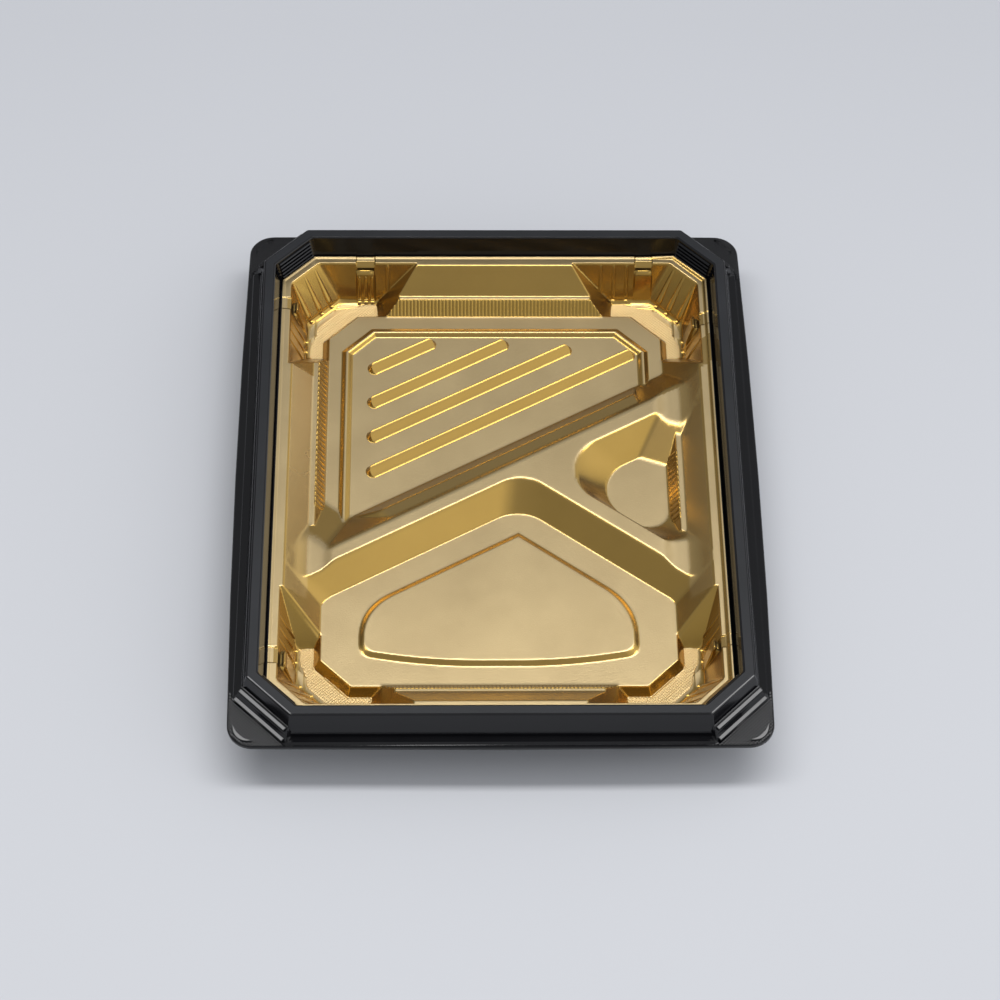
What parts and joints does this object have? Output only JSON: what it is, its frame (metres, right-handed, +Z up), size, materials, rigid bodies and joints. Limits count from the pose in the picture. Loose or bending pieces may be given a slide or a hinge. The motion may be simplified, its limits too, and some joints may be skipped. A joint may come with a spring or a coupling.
{
  "type": "bento container",
  "caption": "Black formed food container with a raised rim and finger tabs, and a lift-out gold tray whose compartments are parted by a Y-shaped ridge.",
  "frame": {"origin": "middle of the container's footprint, on the plane that its foot ring stands on", "axes": "+X to the right along the short side, +Y to the back along the long side, +Z up"},
  "size_m": [0.211, 0.2592, 0.0319],
  "materials": {
    "black_plastic": "satin black sheet",
    "gold_film": "satin metallic gold laminate"
  },
  "bodies": {
    "base": {"outer_base": "black_plastic"},
    "tray": {"inner_tray": "gold_film"}
  },
  "joints": [
    {"name": "tray_lift", "type": "slide", "parent": "base", "child": "tray", "axis": [0, 0, 1], "range_m": [0, 0.04]}
  ]
}
